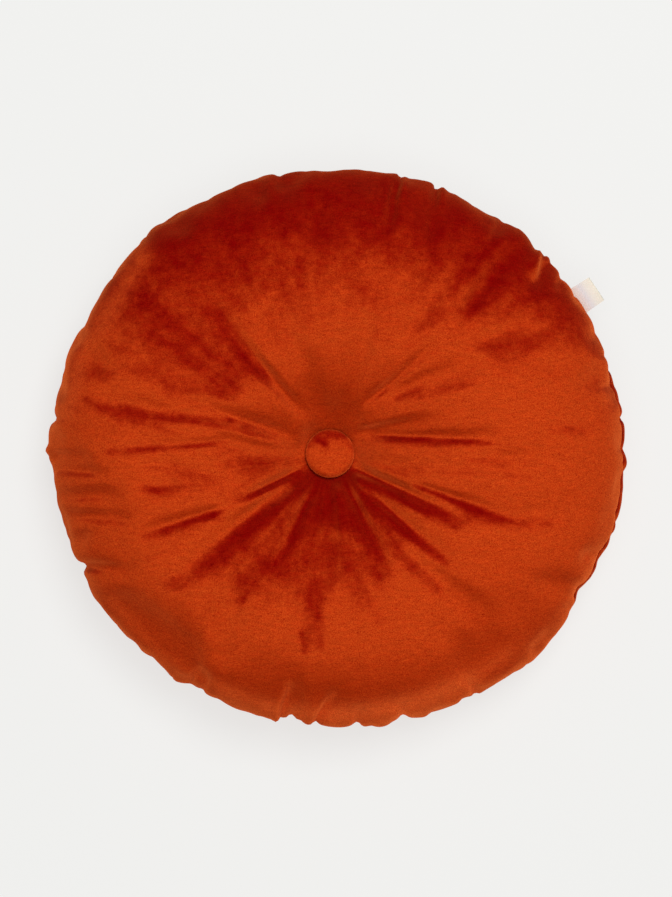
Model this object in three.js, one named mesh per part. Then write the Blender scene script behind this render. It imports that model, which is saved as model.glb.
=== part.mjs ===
// A round velvet scatter cushion, filled, gathered into one seam round its rim, and drawn in at the
// middle by a pair of cloth-covered buttons. A blank woven label is folded double and caught in the seam.
// It lies on its back. +Z is the way its face looks, +Y is the top of the face, and z = 0 is the
// surface it lies on. All sizes are millimetres, and angles are degrees, anticlockwise from +X.
import * as THREE from 'three';

// Driving sizes
const MEAN_DIAMETER = 399;
const CROWN_HEIGHT = 115;
const SEAM_HEIGHT = 50;
const FACE_SEAT_HEIGHT = 73;
const BACK_SEAT_HEIGHT = 33;
const BACK_BELLY_DEPTH = 54;
const BUTTON_DIAMETER = 34;
const BUTTON_THICKNESS = 10;
const TOUCHING_GAP = 0.3;

// How the filled ring is shaped between the button and the seam
const TUFT_CENTRE = new THREE.Vector2(-4.2, -3.5);
const SEAT_RADIUS = 15.5;
const FULLEST_RADIUS = 104;
const DIMPLE_STEEPNESS = 2.1;
const CENTRED_AGAIN_AT = 0.9;
const LIP_HEIGHT = 6;
const LIP_UNDERSIDE = { drawnIn: 0.3, height: 0.45 };
const SEAM_DRAWN_IN = 3.5;
const OVAL = { by: 2.8, longAxisAt: -9.5 };
const BODY_OFF_CENTRE = { by: 1.3, towards: 24 };
const SEAM_RISE = { by: 2.5, at: -8 };
const CROWN_LEAN = { by: 2, at: 200 };

// On the right of the face the seam has rolled forwards, so that the back shows beyond it.
const ROLLED_SEAM = { from: -38, to: 20, by: 2.4, fade: 7 };
const BACK_LIP_INSIDE = 0.8;

// The gathers round the seam: where each is, how far it stands out or is nipped in, half its width in
// degrees, how far it runs in over the face, and how far its inner end leans round.
const GATHERS = table(['at', 'out', 'half', 'reach', 'lean'], [
  [7, 1.0, 4, 30, 0],
  [13, -2.8, 2.8, 45, -2],
  [21, -1.8, 4.5, 35, 1],
  [31, -0.9, 3, 25, 0],
  [37, -2.6, 2.4, 40, 3],
  [42.6, 2.6, 1.6, 22, -3],
  [44.6, -1.8, 1.4, 45, 2],
  [50.5, 2.4, 2.8, 30, 0],
  [58, -2.6, 4.5, 40, 0],
  [65.5, 0.9, 1.6, 35, 0],
  [68, -1.4, 1.2, 38, -2],
  [71, 1.9, 2.4, 30, 0],
  [75.8, -1.8, 1.2, 36, 1],
  [79, 1.0, 2.5, 30, 0],
  [92.5, -1.6, 4.5, 45, 0],
  [101.5, -1.2, 1.2, 30, 0],
  [104.5, 2.0, 2.5, 25, 0],
  [116, -1.2, 4, 40, 0],
  [124, 1.4, 3, 30, 0],
  [130.5, 3.3, 3.2, 35, 0],
  [148, -2.2, 6.5, 30, 0],
  [166.5, -1.8, 2.6, 45, 3],
  [174, -2.4, 1.3, 30, 2],
  [176.8, 2.4, 1.8, 25, 0],
  [180.6, 4.2, 1.8, 22, 0],
  [183.4, -1.2, 1.5, 60, 0],
  [188, -1.2, 1.8, 60, 2],
  [193.5, -1.0, 1.8, 65, 4],
  [204.5, -3.6, 1.8, 50, 4],
  [212.6, 2.4, 2.6, 25, 0],
  [218.5, 0.9, 2.4, 20, 0],
  [224, -0.8, 1.2, 20, 0],
  [234.8, 3.4, 2, 24, 0],
  [240.2, -3.4, 1.8, 28, -1],
  [247, -0.8, 1.4, 22, 0],
  [254.2, 1.4, 1.4, 22, 0],
  [260.4, -6.6, 1.8, 36, 1],
  [264.8, -2.4, 2.4, 26, 2],
  [274.2, -2.4, 1.4, 26, 0],
  [278.6, 2.0, 2.8, 25, 0],
  [284, -4.2, 1.7, 30, 0],
  [288.2, 2.0, 1.8, 22, 0],
  [298.2, -1.6, 1.6, 26, -1],
  [313, 3.2, 5.5, 30, 0],
  [329.6, -4.4, 2.6, 30, 0],
  [337.2, -2.4, 2.2, 32, 0],
  [344, 1.4, 4, 30, 0],
  [350.5, 1.2, 3.5, 25, 0],
  [354.2, -1.2, 1.2, 24, 0],
  [356.6, 2.4, 2, 22, 0],
]);

// The folds that the button pulls over the face, and the longer ones that come in from the rim. Each
// runs from an angle at its near end to one at its far end, both seen from the tuft. A trough lifts
// the cloth by less than nothing, and a ridge by more.
const FACE_FOLDS = table(['nearAt', 'near', 'farAt', 'far', 'lift', 'half'], [
  [121, 22, 129, 142, -3.4, 5.5],
  [119, 26, 125.5, 100, 1.5, 4.5],
  [163, 22, 160, 118, -2.8, 6],
  [166, 26, 163, 120, 1.6, 3.5],
  [169, 30, 166, 185, -2.4, 5],
  [208.5, 24, 208.8, 76, -2.4, 4.5],
  [206.4, 88, 203, 150, -1.8, 5],
  [215, 24, 213, 90, 1.6, 6],
  [227, 24, 219.5, 145, -3, 7],
  [246, 22, 238, 100, -1.6, 6],
  [268, 24, 262, 92, -1.5, 6],
  [289, 22, 301.5, 84, -2.0, 5],
  [303, 40, 317.5, 135, -2.8, 6.5],
  [311, 30, 324, 110, 1.6, 6],
  [325, 20, 333, 120, -3.4, 6],
  [334, 22, 337, 100, 1.6, 5],
  [339.7, 56, 339.4, 142, -2.2, 5],
  [354, 55, 354, 175, -1.0, 6],
  [16, 28, 1.8, 135, -2.8, 5],
  [25, 22, 11, 120, 1.8, 5],
  [30, 20, 23, 90, -2.6, 7],
  [44.6, 40, 31, 130, -2.2, 6],
  [54, 28, 45.5, 124, -2.4, 4.5],
  [61, 60, 55.6, 150, -1.5, 5],
  [46, 125, 49, 205, -2.8, 8],
  [35.5, 120, 31.3, 182, -1.8, 9],
  [80, 80, 77, 200, -1.2, 8],
  [309, 125, 312.2, 175, -1.8, 9],
  [271, 170, 266.7, 190, 1.6, 4],
  [238, 172, 238, 192, 1.8, 4],
]);

// Broad soft hollows and swells where the filling has settled, placed from the middle of the face
const FACE_SWELLS = table(['at', 'from', 'lift', 'along', 'across'], [
  [232, 172, -3.2, 62, 15],
  [296, 168, -1.8, 50, 16],
  [318, 150, -2.2, 30, 26],
  [95, 165, 1.6, 60, 22],
  [200, 120, 1.4, 40, 30],
  [350, 135, 1.6, 40, 30],
]);

// The back isn't seen, so its folds are a plain even fan of the same kind.
const BACK_FOLD_COUNT = 13;
const BACK_FOLD = { near: 22, far: 96, lift: -2.4, half: 6 };
const BACK_FOLD_UNEVEN = { longer: 34, longerTimes: 5, aside: 6, asideTimes: 3 };

// A fold swells over the first part of its length and fades out over the last part.
const FOLD_SWOLLEN_AT = 0.2;
const FOLD_FADES_FROM = 0.6;
const SEAT_FLAT_UNTIL = 0.05;

// How finely the cloth is drawn: the step round the rim, and the rings over the face and the back
const RIM_STEP = 5.9;
const RING_STEP_POINTS = 6;
const FACE_RINGS = { dimple: 8, side: 10 };
const BACK_RINGS = { dimple: 5, side: 8 };
const NARROWEST_FOLD = 4.2;
const NARROWEST_GATHER = 1.5;
const RINGS_CROWD_TO_SEAT = 1.5;
const BUTTON_SEGMENTS = 48;

// The button's half section, as shares of its radius and its thickness
const BUTTON_SECTION = {
  back: 0.76, edge: 0.42, underEdge: 0.04, shoulder: 0.78, domeFrom: 0.72, domeStarts: 0.9, domeTurns: 0.4,
};

// The label's strip: where it leaves the seam, how thick it is and how far its two layers stand apart
const LABEL = {
  at: 31.3, lean: 2.4, width: 19, reach: 17, layer: 1, apart: 0.8, clearOfGroove: 1.5, bendSegments: 8,
};

const RIM_RADIUS = MEAN_DIAMETER / 2;
const UPWARDS = 1;
const DOWNWARDS = -1;
const FACE = {
  way: UPWARDS, seat: FACE_SEAT_HEIGHT, fullest: CROWN_HEIGHT, lip: LIP_HEIGHT, rings: FACE_RINGS,
};
const BACK = {
  way: DOWNWARDS, seat: BACK_SEAT_HEIGHT, fullest: SEAM_HEIGHT - BACK_BELLY_DEPTH, lip: -LIP_HEIGHT,
  rings: BACK_RINGS,
};

const VELVET = new THREE.MeshStandardMaterial({ color: 0xb4370e, roughness: 0.9, metalness: 0 });
const BUTTON_VELVET = new THREE.MeshStandardMaterial({ color: 0xb7350d, roughness: 0.9, metalness: 0 });
const WOVEN_SATIN = new THREE.MeshStandardMaterial({ color: 0xf0e4d6, roughness: 0.6, metalness: 0 });

function table(columns, rows) {
  return rows.map((row) => Object.fromEntries(columns.map((column, i) => [column, row[i]])));
}

const radians = THREE.MathUtils.degToRad;
const cosAt = (degrees) => Math.cos(radians(degrees));

// The shortest way round from one angle to another, in degrees
function turn(degrees, from) {
  return ((((degrees - from) % 360) + 540) % 360) - 180;
}

function bell(distance, half) {
  return Math.exp(-((distance / half) ** 2));
}

// 0 before start, 1 after end, and smooth between them
function ease(value, start, end) {
  return THREE.MathUtils.smoothstep((value - start) / (end - start), 0, 1);
}

function windowed(at, { from, to, fade }) {
  const middle = (from + to) / 2;
  const halfWay = (to - from) / 2;
  return 1 - ease(Math.abs(turn(at, middle)), halfWay - fade, halfWay);
}

function plainOutline(at) {
  return RIM_RADIUS
    + OVAL.by * cosAt(2 * (at - OVAL.longAxisAt))
    + BODY_OFF_CENTRE.by * cosAt(at - BODY_OFF_CENTRE.towards);
}

function seamHeight(at) {
  return SEAM_HEIGHT + SEAM_RISE.by * cosAt(at - SEAM_RISE.at);
}

// How far the gathers move the cloth at an angle, at a distance in from the rim
function gathered(at, fromRim) {
  let out = 0;
  for (const gather of GATHERS) {
    const share = fromRim / gather.reach;
    if (share < 1) {
      const half = Math.max(gather.half, NARROWEST_GATHER);
      out += gather.out * bell(turn(at, gather.at + gather.lean * share), half) * (1 - ease(share, 0, 1));
    }
  }
  return out;
}

// How far one pulled fold lifts the cloth at a place seen from the tuft
function folded(fold, at, from) {
  const share = (from - fold.near) / (fold.far - fold.near);
  if (share <= 0 || share >= 1) return 0;
  const middle = fold.nearAt + turn(fold.farAt, fold.nearAt) * share;
  const aside = radians(turn(at, middle)) * from;
  const half = Math.max(fold.half, NARROWEST_FOLD);
  const strength = ease(share, 0, FOLD_SWOLLEN_AT) * (1 - ease(share, FOLD_FADES_FROM, 1));
  return fold.lift * bell(aside, half) * strength;
}

function swelled(swell, x, y) {
  const at = THREE.MathUtils.radToDeg(Math.atan2(y, x));
  const along = radians(turn(at, swell.at)) * swell.from;
  const across = Math.hypot(x, y) - swell.from;
  return swell.lift * bell(along, swell.along) * bell(across, swell.across);
}

function backFolds() {
  return Array.from({ length: BACK_FOLD_COUNT }, (_, i) => {
    const at = (360 * i) / BACK_FOLD_COUNT;
    const far = BACK_FOLD.far + BACK_FOLD_UNEVEN.longer * cosAt(BACK_FOLD_UNEVEN.longerTimes * at);
    const farAt = at + BACK_FOLD_UNEVEN.aside * cosAt(BACK_FOLD_UNEVEN.asideTimes * at);
    return { ...BACK_FOLD, nearAt: at, farAt, far };
  });
}

const BACK_FOLDS = backFolds();

// How far the folds move the cloth of one side outwards at a place on the plan
function relief(side, x, y) {
  const fromTuft = new THREE.Vector2(x, y).sub(TUFT_CENTRE);
  const at = THREE.MathUtils.radToDeg(fromTuft.angle());
  const folds = side === FACE ? FACE_FOLDS : BACK_FOLDS;
  const swells = side === FACE ? FACE_SWELLS : [];
  const pulled = folds.reduce((sum, fold) => sum + folded(fold, at, fromTuft.length()), 0);
  return pulled + swells.reduce((sum, swell) => sum + swelled(swell, x, y), 0);
}

// How far out the lip of one side stands from the plain outline
function lipOffset(side, at) {
  return side === FACE ? -ROLLED_SEAM.by * windowed(at, ROLLED_SEAM)
    : -BACK_LIP_INSIDE * (1 - windowed(at, ROLLED_SEAM));
}

// A place on the cloth: share 0 is the edge of the button's seat, 0.5 the fullest part and 1 the lip.
function clothPoint(side, share, at) {
  const rim = plainOutline(at) + lipOffset(side, at);
  const lipHeight = seamHeight(at) + side.lip;
  const fullest = side.fullest + side.way * CROWN_LEAN.by * cosAt(at - CROWN_LEAN.at);
  let radius;
  let height;
  const normal = new THREE.Vector2();
  if (share < 0.5) {
    const climbed = 2 * share;
    const width = FULLEST_RADIUS - SEAT_RADIUS;
    const climb = fullest - side.seat;
    radius = SEAT_RADIUS + width * climbed;
    height = side.seat + climb * (1 - (1 - climbed) ** DIMPLE_STEEPNESS);
    normal.set(-(climb / width) * DIMPLE_STEEPNESS * (1 - climbed) ** (DIMPLE_STEEPNESS - 1) * side.way, 1);
  } else {
    const turned = (2 * share - 1) * (Math.PI / 2);
    const width = rim - FULLEST_RADIUS;
    const drop = fullest - lipHeight;
    radius = FULLEST_RADIUS + width * Math.sin(turned);
    height = lipHeight + drop * Math.cos(turned);
    normal.set(Math.abs(drop) * Math.sin(turned), width * Math.cos(turned));
  }
  normal.normalize();
  const fromRim = Math.hypot(rim - radius, lipHeight - height);
  const centre = TUFT_CENTRE.clone().multiplyScalar(1 - ease(share, 0, CENTRED_AGAIN_AT));
  const plan = new THREE.Vector2(radius, 0).rotateAround(new THREE.Vector2(), radians(at)).add(centre);
  const lift = gathered(at, fromRim) + relief(side, plan.x, plan.y) * ease(share, 0, SEAT_FLAT_UNTIL);
  const outwards = radius + normal.x * lift;
  plan.set(outwards, 0).rotateAround(new THREE.Vector2(), radians(at)).add(centre);
  const z = Math.max(0, height + side.way * normal.y * lift);
  return new THREE.Vector3(plan.x, plan.y, z);
}

// The lip's underside, half way from its edge to the seam
function lipPoint(side, at) {
  const edge = clothPoint(side, 1, at);
  const outwards = new THREE.Vector3(edge.x, edge.y, 0).normalize();
  edge.addScaledVector(outwards, -SEAM_DRAWN_IN * LIP_UNDERSIDE.drawnIn);
  edge.z = seamHeight(at) + side.lip * LIP_UNDERSIDE.height;
  return edge;
}

function seamPoint(at) {
  const rolled = ROLLED_SEAM.by * windowed(at, ROLLED_SEAM);
  const radius = plainOutline(at) + gathered(at, 0) - rolled - SEAM_DRAWN_IN;
  const plan = new THREE.Vector2(radius, 0).rotateAround(new THREE.Vector2(), radians(at));
  return new THREE.Vector3(plan.x, plan.y, seamHeight(at));
}

// The shares of the rings from the seat to the lip, closer together where the cloth turns faster
function ringShares({ dimple, side }) {
  const inner = Array.from({ length: dimple }, (_, i) => 0.5 * (i / dimple) ** RINGS_CROWD_TO_SEAT);
  const outer = Array.from({ length: side + 1 }, (_, i) => 0.5 + (0.5 * i) / side);
  return [...inner, ...outer];
}

// A ring has as many points as its length needs, so that the cloth's triangles stay even.
function ringOf(pointAt, radius) {
  const count = Math.round((2 * Math.PI * radius) / RIM_STEP / RING_STEP_POINTS) * RING_STEP_POINTS;
  return Array.from({ length: count }, (_, i) => pointAt((360 * i) / count));
}

function sideRings(side) {
  const rings = ringShares(side.rings).map((share) => {
    const radius = share < 0.5
      ? SEAT_RADIUS + (FULLEST_RADIUS - SEAT_RADIUS) * 2 * share
      : FULLEST_RADIUS + (RIM_RADIUS - FULLEST_RADIUS) * Math.sin((2 * share - 1) * (Math.PI / 2));
    return ringOf((at) => clothPoint(side, share, at), radius);
  });
  rings.push(ringOf((at) => lipPoint(side, at), RIM_RADIUS));
  return rings;
}

// Joins two rings that may have different numbers of points with one band of triangles.
function stitch(inner, outer, triangles, flipped) {
  let i = 0;
  let j = 0;
  while (i < inner.length || j < outer.length) {
    const nextInner = (i + 1) / inner.length;
    const nextOuter = (j + 1) / outer.length;
    const a = inner[i % inner.length];
    const b = outer[j % outer.length];
    const stepOut = j < outer.length && (i === inner.length || nextOuter <= nextInner);
    const c = stepOut ? outer[(j + 1) % outer.length] : inner[(i + 1) % inner.length];
    triangles.push(flipped ? [a, c, b] : [a, b, c]);
    if (stepOut) j += 1;
    else i += 1;
  }
}

function sideTriangles(side, seam, triangles) {
  const flipped = side === BACK;
  const rings = [...sideRings(side), seam];
  const middle = new THREE.Vector3(TUFT_CENTRE.x, TUFT_CENTRE.y, side.seat);
  rings[0].forEach((point, i) => {
    const next = rings[0][(i + 1) % rings[0].length];
    triangles.push(flipped ? [middle, next, point] : [middle, point, next]);
  });
  for (let i = 0; i + 1 < rings.length; i += 1) stitch(rings[i], rings[i + 1], triangles, flipped);
}

function cushionBody() {
  const seam = ringOf(seamPoint, RIM_RADIUS);
  const triangles = [];
  sideTriangles(FACE, seam, triangles);
  sideTriangles(BACK, seam, triangles);
  const index = new Map();
  const positions = [];
  const indices = triangles.flat().map((point) => {
    if (!index.has(point)) {
      index.set(point, positions.length / 3);
      positions.push(point.x, point.y, point.z);
    }
    return index.get(point);
  });
  const geometry = new THREE.BufferGeometry();
  geometry.setAttribute('position', new THREE.Float32BufferAttribute(positions, 3));
  geometry.setIndex(indices);
  return named(geometry, VELVET, 'cushion_body');
}

// A covered button: a flat back, a rounded edge turned under, and a low dome of cloth
function buttonGeometry() {
  const part = BUTTON_SECTION;
  const at = (radius, height) => new THREE.Vector2((radius * BUTTON_DIAMETER) / 2, height * BUTTON_THICKNESS);
  const bend = (from, over, to, steps) => new THREE.QuadraticBezierCurve(from, over, to).getPoints(steps);
  const edge = bend(at(part.back, 0), at(1, part.underEdge), at(1, part.edge), 4);
  const shoulder = bend(at(1, part.edge), at(1, part.shoulder), at(part.domeFrom, part.domeStarts), 5);
  const dome = bend(at(part.domeFrom, part.domeStarts), at(part.domeTurns, 1), at(0, 1), 4);
  const profile = [at(0, 0), ...edge, ...shoulder.slice(1), ...dome.slice(1)];
  return new THREE.LatheGeometry(profile, BUTTON_SEGMENTS).rotateX(Math.PI / 2);
}

function faceButton() {
  const button = named(buttonGeometry(), BUTTON_VELVET, 'face_button');
  button.position.set(TUFT_CENTRE.x, TUFT_CENTRE.y, FACE_SEAT_HEIGHT + TOUCHING_GAP);
  return button;
}

function backButton() {
  const button = named(buttonGeometry(), BUTTON_VELVET, 'back_button');
  button.rotation.x = Math.PI;
  button.position.set(TUFT_CENTRE.x, TUFT_CENTRE.y, BACK_SEAT_HEIGHT - TOUCHING_GAP);
  return button;
}

// The label: one strip of satin ribbon folded back on itself, its two layers a little apart
function seamLabel() {
  const outerHalf = LABEL.layer + LABEL.apart / 2;
  const innerHalf = LABEL.apart / 2;
  const bend = LABEL.reach - outerHalf;
  const section = new THREE.Shape();
  section.moveTo(0, -outerHalf);
  section.lineTo(bend, -outerHalf);
  section.absarc(bend, 0, outerHalf, -Math.PI / 2, Math.PI / 2, false);
  section.lineTo(0, outerHalf);
  section.lineTo(0, innerHalf);
  section.lineTo(bend, innerHalf);
  section.absarc(bend, 0, innerHalf, Math.PI / 2, -Math.PI / 2, true);
  section.lineTo(0, -innerHalf);
  section.closePath();
  const geometry = new THREE.ExtrudeGeometry(section, {
    depth: LABEL.width, bevelEnabled: false, curveSegments: LABEL.bendSegments,
  });
  geometry.translate(0, 0, -LABEL.width / 2);
  geometry.rotateX(Math.PI / 2);
  const label = named(geometry, WOVEN_SATIN, 'seam_label');
  const root = seamPoint(LABEL.at);
  const outwards = new THREE.Vector3(root.x, root.y, 0).normalize();
  label.position.copy(root).addScaledVector(outwards, LABEL.clearOfGroove);
  label.rotation.z = radians(LABEL.at + LABEL.lean);
  return label;
}

function named(geometry, material, name) {
  const mesh = new THREE.Mesh(geometry, material);
  mesh.name = name;
  return mesh;
}

const cushion = new THREE.Group();
cushion.add(cushionBody(), faceButton(), backButton(), seamLabel());

export default cushion;
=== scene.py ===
# %% [markdown]
# This lesson dresses a round velvet cushion. The real one is two circles of short-pile velvet, sewn
# together round the rim, stuffed, and drawn in at the middle by a thread between two covered buttons.
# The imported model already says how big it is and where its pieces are, so it is loaded first, and
# every piece made here is put where that model says.

# %% Load the frame
import math

import bpy
import numpy as np
import mathutils.kdtree
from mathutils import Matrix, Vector


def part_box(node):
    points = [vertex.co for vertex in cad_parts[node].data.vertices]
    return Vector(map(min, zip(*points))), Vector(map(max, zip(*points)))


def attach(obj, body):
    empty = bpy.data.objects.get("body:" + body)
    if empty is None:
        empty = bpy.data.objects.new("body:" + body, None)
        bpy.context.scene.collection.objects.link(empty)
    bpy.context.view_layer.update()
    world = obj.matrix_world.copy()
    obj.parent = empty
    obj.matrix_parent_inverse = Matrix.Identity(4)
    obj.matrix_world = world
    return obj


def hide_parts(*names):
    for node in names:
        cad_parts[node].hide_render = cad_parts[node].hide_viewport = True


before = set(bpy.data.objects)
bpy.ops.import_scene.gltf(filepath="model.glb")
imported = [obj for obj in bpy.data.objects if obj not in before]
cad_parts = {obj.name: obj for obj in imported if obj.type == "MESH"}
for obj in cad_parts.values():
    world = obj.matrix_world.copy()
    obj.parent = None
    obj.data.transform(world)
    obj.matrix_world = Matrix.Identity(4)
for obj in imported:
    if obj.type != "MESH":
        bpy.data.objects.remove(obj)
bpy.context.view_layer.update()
print("nodes:", sorted(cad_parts))

# %% [markdown]
# The sizes of the cushion come next. Lengths are in millimetres, because a maker thinks in them, and
# MM turns them into Blender's metres. The button's place and the two heights that it draws the cloth
# down to are read from the model, so the cover can't drift away from it.

# %% Sizes of the cushion
MM = 0.001
MEAN_DIAMETER = 399
CROWN_HEIGHT = 115
SEAM_HEIGHT = 50
BACK_BELLY_DEPTH = 54
FULLEST_RADIUS = 104
DIMPLE_STEEPNESS = 2.1
LIP_HEIGHT = 6
SEAM_DRAWN_IN = 4.2
OVAL_BY, OVAL_AT = 2.8, -9.5
OFF_CENTRE_BY, OFF_CENTRE_TOWARDS = 1.3, 24
SEAM_RISE_BY, SEAM_RISE_AT = 2.5, -8
CROWN_LEAN_BY, CROWN_LEAN_AT = 2, 200
ROLLED_SEAM = {"middle": -9, "half": 29, "by": 2.4, "fade": 7}
BACK_LIP_INSIDE = 0.8
BACK_LIP_PEEPS_OUT = 1.9
TOUCHING_GAP = 0.3

face_button_low, face_button_high = (np.array(corner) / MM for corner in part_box("face_button"))
_, back_button_high = (np.array(corner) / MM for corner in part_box("back_button"))
TUFT = (face_button_low + face_button_high)[:2] / 2
BUTTON_RADIUS = (face_button_high - face_button_low)[0] / 2
BUTTON_THICKNESS = (face_button_high - face_button_low)[2]
FACE_SEAT = face_button_low[2] - TOUCHING_GAP
BACK_SEAT = back_button_high[2] + TOUCHING_GAP
SEAT_RADIUS = BUTTON_RADIUS - 0.6
print(f"tuft at {TUFT.round(1)} mm, buttons {2 * BUTTON_RADIUS:.0f} mm across")

# %% [markdown]
# The camera looks straight down on the face, as the photograph does, from a metre and a half above
# the seam. A long lens keeps the near crown from looking much bigger than the rim. One pixel of the
# photograph is 0.709 mm at the height of the seam, and that gives the camera its height.

# %% Camera
PIXEL = 0.709
PHOTO_WIDTH, PHOTO_HEIGHT = 672, 897
PHOTO_MIDDLE = np.array([PHOTO_WIDTH / 2, PHOTO_HEIGHT / 2])
LENS, SENSOR = 85, 36
VIEW_DISTANCE = PHOTO_HEIGHT * PIXEL * LENS / SENSOR
CAMERA_HEIGHT = SEAM_HEIGHT + VIEW_DISTANCE


def deselect_all():
    bpy.ops.object.select_all(action="DESELECT")


deselect_all()
bpy.ops.object.camera_add(location=(0, 0, CAMERA_HEIGHT * MM), rotation=(0, 0, 0))
camera = bpy.context.object
camera.name = "overhead_camera"
camera.data.lens = LENS
camera.data.sensor_width = SENSOR
bpy.context.scene.camera = camera
print(f"camera {CAMERA_HEIGHT / 1000:.2f} m above the surface")


def seen_from_above(x, y, z):
    """Where a point of the cloth shows, in millimetres at the height of the seam."""
    nearer = VIEW_DISTANCE / (CAMERA_HEIGHT - z)
    return x * nearer, y * nearer


def from_photo(column, row):
    """A place in the photograph, in millimetres at the height of the seam."""
    return (column - PHOTO_MIDDLE[0]) * PIXEL, (PHOTO_MIDDLE[1] - row) * PIXEL


def line_in_photo(column, row, far_column, far_row):
    return (*from_photo(column, row), *from_photo(far_column, far_row))


# %% [markdown]
# Where the cloth folds is a matter of looking. The tables below have one row for each gather at the
# seam and one for each fold on the face. A gather stands out or is nipped in at an angle, in degrees
# anticlockwise from the right. A fold runs between two places in the photograph, given by column and
# row, and lifts the cloth by a few millimetres, or lowers it by as much.

# %% Gathers round the seam
# Each row: angle, how far out, half its width, how far in it reaches, how much it leans.
GATHERS = [
    (153, -1.5, 9, 60, 0), (97, -1, 17, 60, 0), (7, 1, 4, 30, 0), (13, -2.2, 2.6, 45, -2),
    (21, -1.8, 4.5, 35, 1), (31, -0.9, 3, 25, 0), (37, -2.1, 2.4, 40, 3), (42.6, 2.6, 1.6, 22, -3),
    (44.6, -2.8, 1.2, 45, 2), (50.5, 2.4, 2.8, 30, 0), (58, -2.6, 4.5, 40, 0), (64, -1.2, 1.5, 25, 0),
    (65.5, 0.9, 1.6, 35, 0), (68, -1.6, 0.9, 38, -2), (71, 1.2, 2.4, 30, 0), (75.2, -2, 0.8, 36, 1),
    (77.4, 1.2, 0.9, 20, 0), (92.5, -1.6, 4.5, 45, 0), (101.5, -1.2, 1.2, 30, 0), (104.5, 2, 2.5, 25, 0),
    (116, -1.2, 4, 40, 0), (124, 1.4, 3, 30, 0), (130.5, 3.3, 3.2, 35, 0), (148, -2.2, 6.5, 30, 0),
    (166.5, -1.8, 2.6, 45, 3), (174, -2.6, 1.1, 30, 2), (176.8, 2.4, 1.8, 25, 0), (180.6, 4.2, 1.8, 22, 0),
    (183.4, -1.2, 1.2, 60, 0), (188, -1.2, 1.6, 60, 2), (193.5, -1, 1.8, 65, 4), (204.5, -3.8, 1.6, 50, 4),
    (212.6, 2.4, 2.6, 25, 0), (218.5, 0.9, 2.4, 20, 0), (214.2, -1, 0.9, 16, 0), (222.2, 0.9, 0.9, 16, 0),
    (224.2, -1.5, 0.8, 18, 0), (226.2, 0.8, 0.9, 16, 0), (229.4, -0.8, 0.8, 16, 0),
    (232.8, -1.8, 0.9, 18, 0), (234.8, 3.4, 2, 24, 0), (240.2, -3.6, 1.6, 28, -1), (247, -0.8, 1.2, 22, 0),
    (251.8, -1.9, 1.2, 20, 0), (254.2, 1.4, 1.4, 22, 0), (258.2, 1.2, 0.8, 16, 0), (264, -1.6, 0.9, 22, 0),
    (260.3, -7.2, 1.4, 40, 1), (264.8, -2.4, 2.4, 26, 2), (274.2, -2.6, 1.2, 26, 0), (278.6, 2, 2.8, 25, 0),
    (284, -4.6, 1.5, 30, 0), (288.2, 2, 1.8, 22, 0), (297.8, -1.8, 1.3, 26, -1), (300.2, 1.6, 0.9, 16, 0),
    (313, 3.2, 5.5, 30, 0), (329.6, -4.6, 2.4, 30, 0), (337.2, -2.6, 2, 32, 0), (344, 1.4, 4, 30, 0),
    (350.5, 1.2, 3.5, 25, 0), (354.2, -1.4, 1, 24, 0), (356.6, 2.4, 2, 22, 0),
]
NIP_SHARPNESS = 1.35

# %% Folds of the face
# Each row: near column and row, far column and row, lift, half its width.
PULLED_FOLDS = [
    (305, 415, 203, 298, -3.8, 6), (300, 402, 232, 318, 1.6, 5), (292, 436, 168, 394, -2.7, 5),
    (284, 446, 160, 410, 1.4, 4.5), (240, 424, 92, 398, -1.8, 5.5), (301, 468, 242, 498, -2.8, 3.6),
    (296, 478, 232, 512, 1.4, 3.6), (224, 507, 140, 533, -2.2, 4.2), (303, 471, 178, 575, -3, 6.5),
    (300, 488, 214, 588, 1.5, 6.5), (316, 484, 262, 590, -2.2, 5), (328, 486, 318, 600, -1.1, 6),
    (337, 486, 350, 586, 1.4, 5), (345, 482, 392, 574, -2.2, 4.5), (352, 473, 412, 542, 1.5, 4),
    (358, 484, 466, 574, -2.7, 5), (404, 548, 480, 620, -1.6, 8), (346, 464, 468, 519, -3.3, 4.6),
    (362, 462, 470, 506, 1.6, 4.5), (404, 480, 524, 522, -2.6, 4.2), (356, 435, 512, 438, -2.8, 4),
    (366, 452, 500, 458, 1.5, 5.5), (452, 457, 570, 457, -1, 5), (352, 432, 440, 418, -2.6, 5),
    (356, 428, 452, 402, 1.4, 5), (362, 404, 402, 376, -1.5, 3.2), (368, 402, 448, 334, -2.6, 4),
    (378, 398, 486, 358, -3, 7.5), (352, 400, 372, 306, -1.2, 7), (404, 336, 452, 276, -2, 5),
    (464, 312, 518, 242, -3, 7), (472, 344, 540, 320, -2.2, 6), (336, 404, 322, 300, 1, 12),
    (232, 440, 104, 450, -1.2, 3), (150, 461, 206, 474, -1.4, 3.4), (146, 484, 182, 488, -1.2, 3),
    (398, 500, 446, 530, 1.2, 4),
]
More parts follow.
